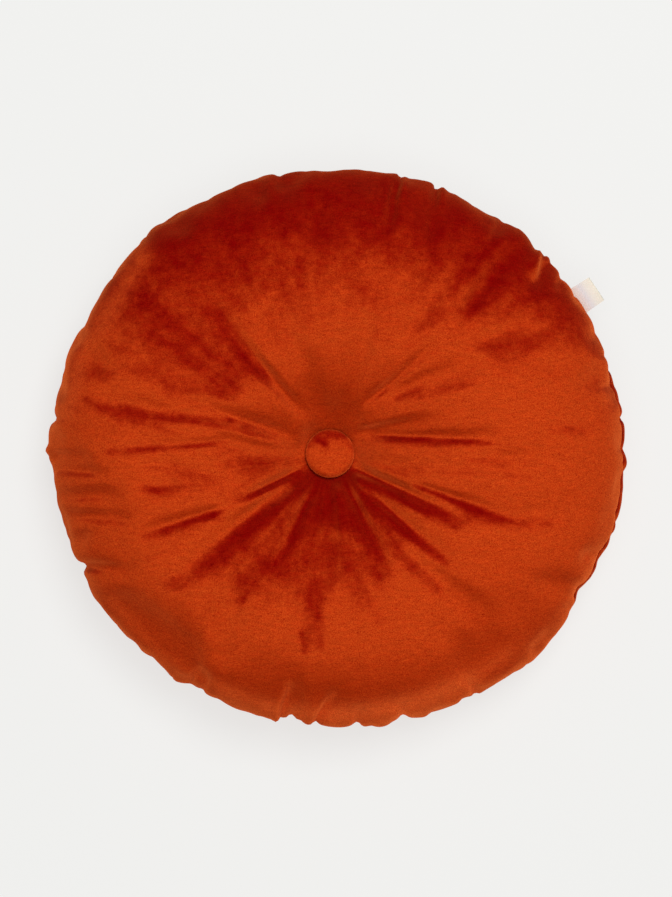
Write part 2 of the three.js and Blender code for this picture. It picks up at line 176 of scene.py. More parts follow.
RIM_FOLDS = [
    (397, 178, 387, 240, -3.2, 2.6), (405, 182, 398, 236, 1.2, 4), (436, 186, 429, 248, -3.2, 2.8),
    (446, 192, 440, 246, 1.4, 4.4), (320, 204, 312, 244, -1.4, 4), (552, 258, 532, 292, -2.8, 3.4),
    (543, 252, 528, 276, 1.6, 3.6), (500, 216, 492, 240, -1, 3.4), (50, 454, 96, 456, -2, 3),
    (52, 469, 112, 471, -2.4, 3.6), (54, 496, 124, 493, -2.6, 4.6), (58, 514, 140, 518, -3, 3.8),
    (66, 542, 98, 530, -1.8, 3.6), (78, 565, 140, 571, -3.4, 3.6), (108, 594, 212, 671, -3.4, 12),
    (188, 684, 199, 662, -2.4, 3.2), (201, 690, 208, 668, -1.8, 2.8), (281, 718, 292, 684, -2.6, 2.6),
    (289, 712, 297, 676, -2.4, 4.2), (316, 722, 337, 692, -2.6, 3.4), (306, 716, 320, 694, 1.6, 3.4),
    (356, 726, 362, 704, -2, 3.2), (402, 720, 404, 700, -1.6, 3), (475, 698, 470, 676, -2.6, 3.4),
    (540, 660, 530, 640, -1.6, 3.4), (552, 644, 540, 628, -1.4, 3.4), (584, 590, 560, 580, -1.8, 4),
    (600, 560, 576, 552, -1.6, 4), (166, 214, 190, 240, -1.2, 5), (256, 184, 262, 206, -1.2, 3.6),
    (270, 182, 274, 204, 0.9, 3.2),
]
# Broad and shallow, where the filling has settled.
SETTLED_HOLLOWS = [
    (428, 566, 506, 634, -1.6, 9), (506, 640, 430, 672, -1, 18), (250, 330, 300, 250, 1.4, 24),
    (560, 420, 548, 520, 1.2, 26),
]

# %% Folds of the back
# The back doesn't show, so it gets the same sort of folds, spread unevenly by a few sine waves.
BACK_FOLD_COUNT = 15
BACK_FOLD_NEAR, BACK_FOLD_FAR, BACK_FOLD_LONGER = 22, 92, 34
BACK_FOLD_LIFT, BACK_FOLD_HALF = -2.8, 5


def back_folds():
    rows = []
    for number in range(BACK_FOLD_COUNT):
        at = math.radians(360 * number / BACK_FOLD_COUNT + 7 * math.sin(2.3 * number))
        far_at = at + math.radians(7 * math.sin(1.7 * number))
        far = BACK_FOLD_FAR + BACK_FOLD_LONGER * math.cos(2.1 * number)
        lift = BACK_FOLD_LIFT * (0.7 + 0.4 * math.sin(3.1 * number))
        near_place = TUFT + BACK_FOLD_NEAR * np.array([math.cos(at), math.sin(at)])
        far_place = TUFT + far * np.array([math.cos(far_at), math.sin(far_at)])
        rows.append((*near_place, *far_place, lift, BACK_FOLD_HALF))
    return rows


def face_folds(table):
    return [(*line_in_photo(*row[:4]), *row[4:]) for row in table]


print(len(GATHERS), "gathers,", len(PULLED_FOLDS) + len(RIM_FOLDS), "folds on the face")

# %% [markdown]
# These helpers turn a row into a smooth bump or furrow. A bell is high in the middle and dies away on
# both sides, and ease goes from 0 to 1 with no kink at either end.

# %% Smooth shapes
def turn(at, start):
    """The shortest way round from one angle to another, in degrees."""
    return (at - start + 180) % 360 - 180


def bell(distance, half, sharpness=2.0):
    return np.exp(-np.abs(distance / half) ** sharpness)


def ease(value, start, end):
    share = np.clip((value - start) / (end - start), 0, 1)
    return share * share * (3 - 2 * share)


def cos_at(degrees):
    return np.cos(np.radians(degrees))


def angle_of(x, y):
    """Degrees anticlockwise from the right."""
    return np.degrees(np.arctan2(y, x)) % 360


def from_line(x, y, x0, y0, x1, y1):
    """The share of the way along a line and the distance to its right."""
    length = math.hypot(x1 - x0, y1 - y0)
    along = ((x - x0) * (x1 - x0) + (y - y0) * (y1 - y0)) / length**2
    aside = ((x - x0) * (y1 - y0) - (y - y0) * (x1 - x0)) / length
    return along, aside


def furrow(x, y, fold, rise=0.18, fade=0.45):
    """How far one fold lifts the cloth. It is narrow at its near end and fades at its far one."""
    *line, lift, half = fold
    along, aside = from_line(x, y, *line)
    width = half * (0.65 + 0.5 * np.clip(along, 0, 1))
    strength = ease(along, -0.04, rise) * (1 - ease(along, fade, 1.06))
    return lift * bell(aside, width) * strength


def gathered(at, from_rim):
    """How far the gathers move the cloth, at an angle and at a distance in from the rim."""
    out = np.zeros_like(at)
    for angle, amount, half, reach, lean in GATHERS:
        share = from_rim / reach
        sharpness = NIP_SHARPNESS if amount < 0 else 2.0
        widened = half * (1 + 0.6 * np.clip(share, 0, 1))
        across = bell(turn(at, angle + lean * share), widened, sharpness)
        out += amount * across * (1 - ease(share, 0, 1))
    return out


# %% [markdown]
# The cover starts as the line that a knife would cut through it: from under the face's button, up the
# side of the dimple, over the crown, down to the seam, and back under to the other button. Each point
# of that line has a share from 0 at the button to 1 at the lip above the seam, and the line is spun
# round the tuft, as a potter's wheel would do it. Spinning gives rows of faces that run the way the
# folds do, so a narrow fold stays crisp.

# %% The section's shares
SPOKES = 344
DIMPLE_ROWS, SIDE_ROWS, LIP_ROWS = 20, 23, 3
BACK_DIMPLE_ROWS, BACK_SIDE_ROWS = 9, 13
DIMPLE_CROWDING, SIDE_CROWDING = 1.35, 0.94
FACE, BACK = 1, -1


def shares_of(dimple_rows, side_rows):
    inner = 0.5 * (np.arange(dimple_rows) / dimple_rows) ** DIMPLE_CROWDING
    outer = 0.5 + 0.5 * (np.arange(side_rows + 1) / side_rows) ** SIDE_CROWDING
    return np.concatenate([inner, outer])


def section_rows():
    """(side, share, lip) of each row, where lip runs from 0 at the lip's edge to 1 in the seam."""
    lips = np.arange(1, LIP_ROWS) / LIP_ROWS
    face = [(FACE, share, 0.0) for share in shares_of(DIMPLE_ROWS, SIDE_ROWS)]
    back = [(BACK, share, 0.0) for share in shares_of(BACK_DIMPLE_ROWS, BACK_SIDE_ROWS)]
    face += [(FACE, 1.0, lip) for lip in lips]
    back += [(BACK, 1.0, lip) for lip in lips]
    return [*face, (FACE, 1.0, 1.0), *back[::-1]]


ROWS = section_rows()
print(len(ROWS), "rows of", SPOKES, "faces")

# %% Where the cloth is at each share and angle
LIP_TURN = 1.6
CENTRED_UNTIL = 0.9


def plain_outline(at):
    oval = OVAL_BY * cos_at(2 * (at - OVAL_AT))
    return MEAN_DIAMETER / 2 + oval + OFF_CENTRE_BY * cos_at(at - OFF_CENTRE_TOWARDS)


def seam_height(at):
    return SEAM_HEIGHT + SEAM_RISE_BY * cos_at(at - SEAM_RISE_AT)


def rolled(at):
    middle, half = ROLLED_SEAM["middle"], ROLLED_SEAM["half"]
    return 1 - ease(np.abs(turn(at, middle)), half - ROLLED_SEAM["fade"], half)


def section_place(side, share, at):
    """Radius, height, outward normal and distance from the rim of the plain section, before any fold."""
    seat = np.where(side > 0, FACE_SEAT, BACK_SEAT)
    fullest = np.where(side > 0, CROWN_HEIGHT, SEAM_HEIGHT - BACK_BELLY_DEPTH)
    fullest = fullest + side * CROWN_LEAN_BY * cos_at(at - CROWN_LEAN_AT)
    tucked = BACK_LIP_INSIDE * (1 - rolled(at)) - BACK_LIP_PEEPS_OUT * rolled(at)
    inside = np.where(side > 0, ROLLED_SEAM["by"] * rolled(at), tucked)
    rim = plain_outline(at) - inside
    lip_height = seam_height(at) + side * LIP_HEIGHT
    climbed = np.clip(2 * share, 0, 1)
    width = FULLEST_RADIUS - SEAT_RADIUS
    climb = fullest - seat
    turned = np.clip(2 * share - 1, 0, 1) * (math.pi / 2)
    drop = fullest - lip_height
    dimple = share < 0.5
    radius = np.where(
        dimple,
        SEAT_RADIUS + width * climbed,
        FULLEST_RADIUS + (rim - FULLEST_RADIUS) * np.sin(turned),
    )
    height = np.where(
        dimple,
        seat + climb * (1 - (1 - climbed) ** DIMPLE_STEEPNESS),
        lip_height + drop * np.cos(turned),
    )
    slope = climb / width * DIMPLE_STEEPNESS * (1 - climbed) ** (DIMPLE_STEEPNESS - 1)
    outwards = np.where(dimple, -slope * side, np.abs(drop) * np.sin(turned))
    upwards = np.where(dimple, 1.0, (rim - FULLEST_RADIUS) * np.cos(turned))
    size = np.hypot(outwards, upwards)
    from_rim = np.hypot(rim - radius, lip_height - height)
    return radius, height, outwards / size, side * upwards / size, from_rim


def cover_places(side, share, lip, at):
    """Each point of the plain cover with its gathers, in millimetres."""
    radius, height, outwards, upwards, from_rim = section_place(side, share, at)
    moved = gathered(at, from_rim)
    radius = radius + outwards * moved
    height = height + upwards * moved
    seam_radius = plain_outline(at) - ROLLED_SEAM["by"] * rolled(at) + gathered(at, np.zeros_like(at))
    radius = np.where(lip > 0, radius + (seam_radius - SEAM_DRAWN_IN - radius) * ease(lip, 0, 1), radius)
    height = np.where(lip > 0, height + (seam_height(at) - height) * (1 - (1 - lip) ** LIP_TURN), height)
    centring = 1 - ease(share, 0, CENTRED_UNTIL)
    x = radius * cos_at(at) + TUFT[0] * centring
    y = radius * np.sin(np.radians(at)) + TUFT[1] * centring
    return x, y, height


# %% [markdown]
# Now the section is drawn by extruding one vertex from row to row, and spun. That leaves a round hole
# under each button. A hole is filled with one face only after the skin has been rounded, because a
# face with hundreds of sides makes subdivision crawl.

# %% Draw the section and spin it
def plain_section():
    """(radius, height) of each row of the section at one angle, to be spun."""
    side, share, lip = (np.array(column) for column in zip(*ROWS))
    at = np.zeros(len(ROWS))
    radius, height, *_ = section_place(side, share, at)
    return radius - lip * SEAM_DRAWN_IN, np.where(lip > 0, height + (SEAM_HEIGHT - height) * lip, height)


def spun_cover():
    radii, heights = plain_section()
    deselect_all()
    bpy.ops.mesh.primitive_plane_add(size=MM, location=(radii[0] * MM, 0, heights[0] * MM))
    cover = bpy.context.object
    cover.name = "cushion_cover"
    bpy.ops.object.transform_apply(location=True, rotation=True, scale=True)
    bpy.ops.object.mode_set(mode="EDIT")
    bpy.ops.mesh.select_all(action="SELECT")
    bpy.ops.mesh.merge(type="CENTER")
    for step, rise in zip(np.diff(radii), np.diff(heights)):
        bpy.ops.mesh.extrude_region_move(TRANSFORM_OT_translate={"value": (step * MM, 0, rise * MM)})
    bpy.ops.mesh.select_all(action="SELECT")
    bpy.ops.mesh.spin(steps=SPOKES, angle=2 * math.pi, center=(0, 0, 0), axis=(0, 0, 1))
    bpy.ops.mesh.select_all(action="SELECT")
    bpy.ops.mesh.remove_doubles(threshold=0.00001)
    bpy.ops.mesh.normals_make_consistent(inside=False)
    bpy.ops.object.mode_set(mode="OBJECT")
    return cover


def pick(piece):
    deselect_all()
    piece.select_set(True)
    bpy.context.view_layer.objects.active = piece


def modify(piece, kind, **settings):
    """Adds a modifier, sets it and applies it."""
    modifier = piece.modifiers.new(kind.lower(), kind)
    for name, value in settings.items():
        setattr(modifier, name, value)
    bpy.ops.object.modifier_apply(modifier=modifier.name)


def close_holes(piece):
    """Fills the two round holes under the buttons, each with one face."""
    pick(piece)
    bpy.ops.object.mode_set(mode="EDIT")
    bpy.ops.mesh.select_all(action="DESELECT")
    bpy.ops.mesh.select_mode(type="EDGE")
    bpy.ops.mesh.select_non_manifold(extend=False, use_wire=False, use_boundary=True)
    bpy.ops.mesh.edge_face_add()
    bpy.ops.mesh.select_mode(type="VERT")
    bpy.ops.mesh.select_all(action="SELECT")
    bpy.ops.mesh.normals_make_consistent(inside=False)
    bpy.ops.object.mode_set(mode="OBJECT")


cover = spun_cover()
print("cover:", len(cover.data.vertices), "vertices,", len(cover.data.polygons), "faces")

# %% [markdown]
# The spun skin is as even as a wheel. Moving each vertex to its place from the tables gives it the
# oval outline, the gathers and the folds. The rows are found again by looking for the nearest point
# of the section, because spinning doesn't keep them in order.

# %% Give the cover its form
def vertex_places(mesh):
    flat = np.empty(len(mesh.vertices) * 3)
    mesh.vertices.foreach_get("co", flat)
    return flat.reshape(-1, 3) / MM


def move_vertices(mesh, places):
    mesh.vertices.foreach_set("co", (places * MM).ravel())
    mesh.update()


def vertex_normals(mesh):
    flat = np.empty(len(mesh.vertices) * 3)
    mesh.vertex_normals.foreach_get("vector", flat)
    return flat.reshape(-1, 3)


def rows_and_angles(mesh):
    places = vertex_places(mesh)
    radii, heights = plain_section()
    spread = np.hypot(places[:, 0], places[:, 1])
    gaps = np.hypot(spread[:, None] - radii, places[:, 2][:, None] - heights)
    return gaps.argmin(axis=1), angle_of(places[:, 0], places[:, 1])


def put_in_order(mesh, spokes, middle=(0, 0)):
    """Numbers points and faces by their spoke and height. Extruding numbers them anew each run."""
    places = vertex_places(mesh)
    at = angle_of(places[:, 0] - middle[0], places[:, 1] - middle[1])
    order = np.lexsort((places[:, 2], np.round(at * spokes / 360) % spokes))
    rank = order.argsort()
    faces = [rank[list(face.vertices)] for face in mesh.polygons]
    faces = sorted(np.roll(face, -face.argmin()).tolist() for face in faces)
    mesh.clear_geometry()
    mesh.from_pydata(places[order] * MM, [], faces)


FACING_OUT = (-0.1, 0.35)
put_in_order(cover.data, SPOKES)
row_of, at_of = rows_and_angles(cover.data)
row_side, row_share, row_lip = (np.array(column) for column in zip(*ROWS))
side_of, share_of, lip_of = row_side[row_of], row_share[row_of], row_lip[row_of]
move_vertices(cover.data, np.stack(cover_places(side_of, share_of, lip_of, at_of), axis=1))


def relief(places, normals, face_tables, back_table):
    """How far the folds lift each point of the cover outwards. The face's are placed as they are seen."""
    x, y = seen_from_above(*places.T)
    on_face = ease(normals[:, 2], *FACING_OUT) * (places[:, 2] > SEAM_HEIGHT - 4)
    on_back = ease(-normals[:, 2], *FACING_OUT) * (places[:, 2] < SEAM_HEIGHT)
    face = sum(furrow(x, y, fold) for table in face_tables for fold in face_folds(table))
    back = sum(furrow(places[:, 0], places[:, 1], fold) for fold in back_table)
    return face * on_face + back * on_back


places = vertex_places(cover.data)
normals = vertex_normals(cover.data)
lift = relief(places, normals, (PULLED_FOLDS, RIM_FOLDS, SETTLED_HOLLOWS), back_folds())
lift *= np.where((share_of < 0.02) | (lip_of > 0.5), 0, 1)
move_vertices(cover.data, places + normals * lift[:, None])
print("folds lift the cloth from", lift.min().round(1), "to", lift.max().round(1), "mm")

# %% [markdown]
# A cushion gets its plump look from the filling that pushes its cloth out between the places that
# hold it. Blender's cloth does that: pressure blows the skin up, and the cloth, cut a little larger
# than its frame, swells and puckers. The sums take far too long on the fine cover, whose faces are
# slivers near the buttons, so they are done on a copy that a voxel remesh has made even and coarse.
# The seam, the buttons' seats and the bottoms of the folds are held. The cover then follows its copy.

# %% Fill the cushion
FILLING_VOXEL = 7.0
FILLING_PRESSURE = 4.0
CLOTH_TO_SPARE = 0.03
FILLING_FRAMES = 20
FURTHEST_MOVE = 7.0
FOLD_HOLD, DEEP_FOLD = 0.9, 3.0
FOLLOWED_NEIGHBOURS = 8


def how_firmly_held(lift):
    """1 where thread holds the cloth, at the seam and the seats, and less along the folds."""
    held = np.clip(-lift / DEEP_FOLD, 0, 1) * FOLD_HOLD
    held = np.maximum(held, 1 - ease(share_of, 0.0, 0.04))
    return np.maximum(held, np.maximum(ease(share_of, 0.95, 1.0), ease(lip_of, 0.0, 0.3)))


def even_copy(cover):
    pick(cover)
    bpy.ops.object.duplicate()
    trial = bpy.context.object
    trial.name = "filling_trial"
    close_holes(trial)
    modify(trial, "REMESH", mode="VOXEL", voxel_size=FILLING_VOXEL * MM)
    return trial


def nearest(tree, places, count):
    """The numbers of the nearest points in a tree, and how near each is."""
    found = [tree.find_n(Vector(place), count) for place in places]
    numbers = np.array([[number for _, number, _ in row] for row in found])
    return numbers, np.array([[gap for *_, gap in row] for row in found])


def tree_of(places):
    tree = mathutils.kdtree.KDTree(len(places))
    for number, place in enumerate(places):
        tree.insert(Vector(place), number)
    tree.balance()
    return tree


def hold(trial, held):
    group = trial.vertex_groups.new(name="held")
    levels = held.round(1)
    for level in np.unique(levels[levels > 0]):
        group.add(np.flatnonzero(levels == level).tolist(), float(level), "REPLACE")
    return group.name


def fill_with_pressure(trial, held):
    modifier = trial.modifiers.new("filling", "CLOTH")
    cloth = modifier.settings
    cloth.quality = 5
    cloth.mass = 0.3
    cloth.tension_stiffness = 15
    cloth.compression_stiffness = 15
    cloth.shear_stiffness = 5
    cloth.bending_stiffness = 0.5
    cloth.use_pressure = True
    cloth.uniform_pressure_force = FILLING_PRESSURE
    cloth.shrink_min = -CLOTH_TO_SPARE
    cloth.vertex_group_mass = held
    cloth.effector_weights.gravity = 0
    modifier.collision_settings.use_collision = False
    modifier.point_cache.frame_start = 1
    modifier.point_cache.frame_end = FILLING_FRAMES
    for number in range(1, FILLING_FRAMES + 1):
        bpy.context.scene.frame_set(number)
    bpy.ops.object.modifier_apply(modifier=modifier.name)
    bpy.context.scene.frame_set(1)


def filled_moves(cover, held):
    """How far the filling pushes each point of the cover, followed from the even copy."""
    places = vertex_places(cover.data)
    trial = even_copy(cover)
    before = vertex_places(trial.data)
    number, _ = nearest(tree_of(places), before, 1)
    fill_with_pressure(trial, hold(trial, held[number[:, 0]]))
    moved = vertex_places(trial.data) - before
    far = np.maximum(np.linalg.norm(moved, axis=1, keepdims=True), 1e-6)
    moved *= FURTHEST_MOVE * np.tanh(far / FURTHEST_MOVE) / far
    number, gap = nearest(tree_of(before), places, FOLLOWED_NEIGHBOURS)
    weight = np.exp(-((gap / FILLING_VOXEL) ** 2))
    bpy.data.meshes.remove(trial.data)
    print(len(before), "points in the even copy, moved up to", far.max().round(1), "mm")
    return (moved[number] * weight[:, :, None]).sum(axis=1) / weight.sum(axis=1)[:, None]


held = how_firmly_held(lift)
moves = filled_moves(cover, held)
move_vertices(cover.data, vertex_places(cover.data) + moves * (1 - held)[:, None])

# %% [markdown]
# The back is pressed flat where it lies on the surface. The clamp below is soft, so the cloth rolls
# down to the surface and leaves no hard line. One level of subdivision then rounds the mesh.

# %% Lay it on its back and smooth it
ROLL_ON_TO_SURFACE = 1.6


def press_flat(places):
    height = places[:, 2]
    places[:, 2] = (height + np.sqrt(height**2 + ROLL_ON_TO_SURFACE**2)) / 2
    places[:, 2] -= places[:, 2].min()
    return places


move_vertices(cover.data, press_flat(vertex_places(cover.data)))
pick(cover)
modify(cover, "SUBSURF", levels=1)
close_holes(cover)
bpy.ops.object.shade_smooth()

# %% [markdown]
# At the seam the spare cloth is caught in little tucks. Each is a crisp line with a ridge of cloth
# standing beside it, too sharp for the rows before, so they are pressed into the rounded mesh. The
# ridge is on the right of its crease for 1 and on the left for -1, as seen from the rim.

# %% Tucks at the seam
# Each row: near column and row, far column and row, depth, half its width, side of the ridge.
TUCKS_AT_SEAM = [
    (402, 172, 391, 208, 1.7, 2.1, -1), (437, 182, 436, 208, 2.2, 1.9, -1),
    (450, 194, 434, 246, 1.3, 3.4, 1), (504, 222, 480, 260, 1.2, 3.4, 1), (545, 250, 539, 288, 1.8, 2.2, 1),
    (564, 270, 556, 294, 1.2, 2.4, 1), (199, 670, 186, 686, 1.2, 2.1, 1), (202, 692, 207, 672, 1, 2.4, -1),
    (280, 724, 291, 684, 2.2, 2.1, -1), (289, 718, 302, 704, 1.6, 2.2, -1),
    (301, 720, 314, 692, 1.2, 2.4, 1), (300, 706, 301, 660, 0.9, 3, -1), (314, 726, 335, 690, 1.7, 2.2, -1),
    (356, 730, 360, 708, 1, 2.6, 1), (402, 723, 405, 702, 1, 2.6, 1), (477, 699, 468, 674, 1.4, 2.2, -1),
    (464, 704, 457, 686, 0.7, 2.6, 1), (576, 596, 556, 591, 1, 2.4, -1), (601, 551, 580, 556, 1.2, 2.4, -1),
    (616, 384, 588, 392, 0.9, 2.8, -1), (280, 168, 278, 190, 0.9, 2.4, 1), (45, 419, 68, 418, 1, 2.4, 1),
    (43, 456, 72, 455, 1.2, 2.4, -1), (77, 565, 106, 569, 1.6, 2.4, 1),
]
RIDGE_SHARE, RIDGE_AWAY, RIDGE_WIDER = 0.55, 2.0, 1.3


def crease(x, y, row):
    """How far one tuck lifts the cloth: down along its line and up along the ridge beside it."""
    *line, depth, half, ridge_on = row
    along, aside = from_line(x, y, *line_in_photo(*line))
    width = half * (0.8 + 0.5 * np.clip(along, 0, 1))
    ridge = RIDGE_SHARE * bell(aside - ridge_on * RIDGE_AWAY * width, width * RIDGE_WIDER)
    strength = ease(along, -0.3, 0.1) * (1 - ease(along, 0.4, 1.05))
    return depth * strength * (ridge - bell(aside, width))


# All round the seam the cloth is gathered in small puckers, unevenly set out by a few sine waves.
PUCKERS = 74
PUCKER_DEPTH, PUCKER_HALF, PUCKER_REACH = 3.0, 1.05, 13
PUCKER_FADE = 1.3
FULL_BETWEEN_PUCKERS = 0.3


def puckers(at, from_seam):
    """How far the puckers press the cloth in, at an angle and at a height from the seam."""
    near = bell(from_seam, PUCKER_REACH, PUCKER_FADE)
    pressed = np.zeros_like(at)
    for number in range(PUCKERS):
        middle = 360 * number / PUCKERS + 1.3 * math.sin(2.7 * number) + 0.8 * math.sin(7.1 * number)
        tightness = 0.7 + 0.3 * math.sin(math.radians(3 * middle + 40))
        depth = PUCKER_DEPTH * tightness * (1 + 0.7 * math.sin(1.9 * number))
        lean = 0.10 * math.sin(3.3 * number)
        half = PUCKER_HALF * (1 + 0.3 * math.sin(4.3 * number))
        pressed -= depth * bell(turn(at, middle + lean * from_seam), half, NIP_SHARPNESS)
    return (pressed + PUCKER_DEPTH * FULL_BETWEEN_PUCKERS) * near


def press_in_tucks(mesh):
    places = vertex_places(mesh)
    normals = vertex_normals(mesh)
    x, y = seen_from_above(*places.T)
    above_seam = ease(places[:, 2], SEAM_HEIGHT - 8, SEAM_HEIGHT + 2)
    lift = sum(crease(x, y, row) for row in TUCKS_AT_SEAM) * above_seam
    at = angle_of(places[:, 0], places[:, 1])
    on_side = ease(np.hypot(places[:, 0], places[:, 1]), FULLEST_RADIUS, FULLEST_RADIUS + 40)
    lift += puckers(at, places[:, 2] - seam_height(at)) * on_side
    move_vertices(mesh, places + normals * lift[:, None])


press_in_tucks(cover.data)
print("cover:", sum(len(face.vertices) - 2 for face in cover.data.polygons), "triangles")

# %% [markdown]
# Velvet looks darker and redder where you see down into its pile, and brighter where the pile lies
# flat and shows its side. That is light and shade, and here it is painted into the colour. On this
# cushion the pile runs down the face, so every slope that looks up the face gets a painted dark red
# shade: the top of the rim, the lower side of the dimple, and one bank of each fold. Slopes that look
# down the face get a painted brown shade. Marks add more painted shade along folds and creases and
# where the pile lies another way. All this is worked out here and kept in the mesh as a painted shade
# for each point, from -1, brown, over 0, bright, to 1, dark red. The seam's groove and the puckers
# get painted shade too.
#
# The marks are given in tables. In the first a strength above 0 is red and one below 0 is brown. The
# second smooths such shades away, and the third makes the cloth shine. A second value in the mesh
# says how brightly the rim shines, where the cloth turns down and shows the tips of its pile.

# %% Painted shade marks in the pile
# Painted shade: above 0 a red painted shade, below 0 a brown one.
# Each row: near column and row, far column and row, half its width, strength.
PAINTED_SHADE_MARKS = [
    (210, 300, 268, 378, 4, 0.5), (200, 296, 250, 372, 9, 0.4), (160, 300, 215, 320, 18, 0.4),
    (170, 342, 226, 370, 16, 0.58), (172, 386, 226, 396, 9, 0.42), (160, 244, 240, 262, 20, 0.45),
    (210, 236, 300, 226, 18, 0.42), (120, 290, 150, 330, 12, 0.28), (240, 270, 290, 296, 14, 0.16),
    (470, 300, 540, 330, 24, 0.14), (118, 352, 150, 372, 8, 0.22), (300, 226, 420, 232, 16, 0.3),
    (346, 268, 372, 300, 9, 0.24), (430, 256, 520, 256, 16, 0.45), (425, 292, 446, 322, 7, 0.2),
    (404, 330, 446, 284, 3, 0.18), (447, 315, 472, 300, 5, 0.26), (472, 300, 514, 243, 5, 0.34),
    (446, 206, 432, 248, 4, 0.4), (504, 228, 478, 262, 4, 0.4), (459, 276, 475, 270, 3, 0.4),
    (474, 345, 512, 334, 4, 0.2), (512, 334, 548, 322, 8, 0.2), (498, 296, 560, 312, 14, 0.32),
    (548, 268, 540, 290, 4, 0.45), (384, 382, 402, 362, 3, 0.2), (68, 407, 78, 411, 2.6, 0.4),
    (81, 398, 113, 411, 2.6, 0.38), (117, 416, 158, 427, 3.6, 0.34), (158, 428, 188, 441, 3, 0.26),
    (168, 411, 192, 421, 2.8, 0.44), (192, 421, 250, 434, 2.4, 0.34), (250, 434, 292, 443, 1.8, 0.26),
    (102, 454, 180, 446, 1.8, 0.2), (201, 441, 232, 441, 2.4, 0.28), (164, 461, 176, 464, 2, 0.46),
    (176, 465, 206, 477, 2.8, 0.38), (146, 487, 158, 492, 2.4, 0.36), (158, 490, 182, 486, 2.2, 0.3),
    (110, 451, 160, 446, 2.2, 0.3), (70, 424, 82, 426, 3, 0.2), (118, 545, 132, 547, 2, 0.36),
    (244, 501, 298, 474, 2.2, 0.36), (143, 536, 214, 513, 2.6, 0.2), (206, 512, 222, 520, 3, 0.36),
    (146, 560, 178, 548, 3.4, 0.24), (150, 572, 156, 584, 2.2, 0.3), (300, 484, 226, 546, 5, 0.5),
    (238, 538, 196, 566, 7, 0.44), (222, 562, 170, 588, 6, 0.5), (164, 583, 182, 578, 4, 0.28),
    (206, 596, 216, 601, 2, 0.34), (208, 602, 244, 602, 1.3, 0.34), (240, 600, 248, 594, 2.4, 0.44),
    (232, 560, 246, 590, 11, 0.28), (318, 480, 262, 556, 7, 0.44), (270, 560, 246, 580, 9, 0.4),
    (262, 560, 292, 576, 5, 0.34), (272, 524, 250, 552, 8, 0.38), (226, 588, 284, 566, 12, 0.2),
    (314, 594, 314, 640, 7, 0.24), (330, 482, 328, 516, 12, 0.62), (306, 552, 292, 590, 7, 0.3),
    (318, 560, 312, 600, 6, 0.2), (316, 604, 308, 648, 8, 0.32), (318, 616, 322, 650, 3, 0.4),
    (302, 634, 304, 652, 3, 0.42), (342, 536, 362, 600, 6, 0.36), (368, 596, 380, 622, 4, 0.22),
    (350, 478, 384, 548, 5, 0.42), (354, 478, 456, 527, 3.8, 0.6), (400, 512, 450, 545, 8, 0.14),
    (366, 504, 446, 562, 3.8, 0.54), (440, 560, 462, 574, 3, 0.26), (414, 486, 500, 518, 2.8, 0.58),
    (496, 516, 528, 528, 2.2, 0.3), (402, 468, 470, 472, 4, 0.2), (376, 440, 430, 440, 1.6, 0.5),
    (424, 442, 490, 443, 2, 0.42), (486, 444, 514, 445, 1.6, 0.34), (516, 444, 560, 448, 1.4, 0.24),
    (556, 484, 586, 487, 1.2, 0.2), (470, 473, 530, 478, 2.4, 0.2), (52, 455, 96, 457, 3, -0.5),
    (58, 470, 108, 471, 3.4, -0.55), (58, 496, 118, 493, 5, -0.5), (60, 514, 128, 518, 3.6, -0.65),
    (68, 540, 98, 530, 5, -0.4), (84, 566, 130, 570, 3.6, -0.7), (108, 606, 140, 590, 11, -0.3),
    (128, 622, 196, 664, 10, -0.25), (215, 668, 290, 686, 10, -0.2), (296, 406, 374, 406, 16, -0.34),
    (84, 536, 112, 588, 4, -0.22), (440, 440, 600, 440, 24, -0.15), (458, 592, 492, 632, 10, -0.25),
    (500, 588, 520, 604, 9, -0.25), (270, 328, 410, 318, 34, 0.23), (250, 272, 340, 268, 22, 0.24),
    (424, 268, 456, 282, 12, 0.24), (448, 594, 486, 626, 6, -0.5), (466, 640, 500, 660, 10, -0.35),
    (500, 560, 540, 600, 20, -0.25), (400, 676, 440, 668, 14, -0.3), (240, 418, 296, 440, 4, -0.45),
    (352, 437, 420, 421, 4, -0.45), (404, 432, 450, 414, 4, -0.25), (288, 684, 281, 714, 2.4, 0.62),
    (281, 700, 277, 712, 2, 0.35), (334, 694, 322, 714, 1.6, 0.45), (302, 706, 294, 710, 1.6, -0.6),
    (300, 666, 298, 694, 2.4, -0.35), (199, 669, 188, 682, 1.6, 0.6), (470, 678, 474, 688, 1.6, 0.45),
    (400, 180, 391, 200, 1.3, 0.7), (437, 188, 436, 202, 1.3, 0.85), (444, 194, 430, 246, 1.3, 0.3),
    (391, 186, 388, 250, 1.4, 0.4), (546, 260, 540, 284, 1.6, -0.6), (443, 372, 481, 357, 4, -0.3),
]
# Where the painted shade is faded away, with the same columns.
FADED_SHADE_MARKS = [
    (576, 390, 602, 400, 7, 0.85), (546, 358, 580, 358, 7, 0.75), (428, 386, 484, 372, 5, 0.75),
    (362, 438, 380, 443, 4.5, 0.65), (366, 449, 470, 452, 4.4, 0.9), (366, 463, 400, 470, 5, 0.6),
    (288, 489, 242, 518, 3, 0.55), (150, 411, 236, 425, 3.5, 0.45), (478, 342, 536, 326, 8, 0.52),
    (414, 330, 442, 304, 7, 0.55), (562, 418, 596, 428, 6, 0.6), (544, 563, 580, 560, 8, 0.5),
    (238, 424, 282, 437, 5, 0.45), (328, 534, 352, 546, 8, 0.35), (109, 513, 124, 551, 8, 0.4),
    (124, 551, 145, 587, 8, 0.5), (145, 587, 172, 618, 8, 0.4), (204, 610, 208, 650, 9, 0.3),
    (112, 600, 160, 656, 4, 0.7), (160, 656, 236, 694, 4, 0.75), (470, 460, 560, 468, 6, 0.65),
    (142, 258, 100, 330, 9, 0.5), (88, 350, 70, 420, 9, 0.45), (240, 694, 280, 712, 6, 0.4),
    (300, 718, 390, 718, 8, 0.75), (390, 716, 474, 686, 9, 0.7), (474, 686, 524, 640, 8, 0.4),
]
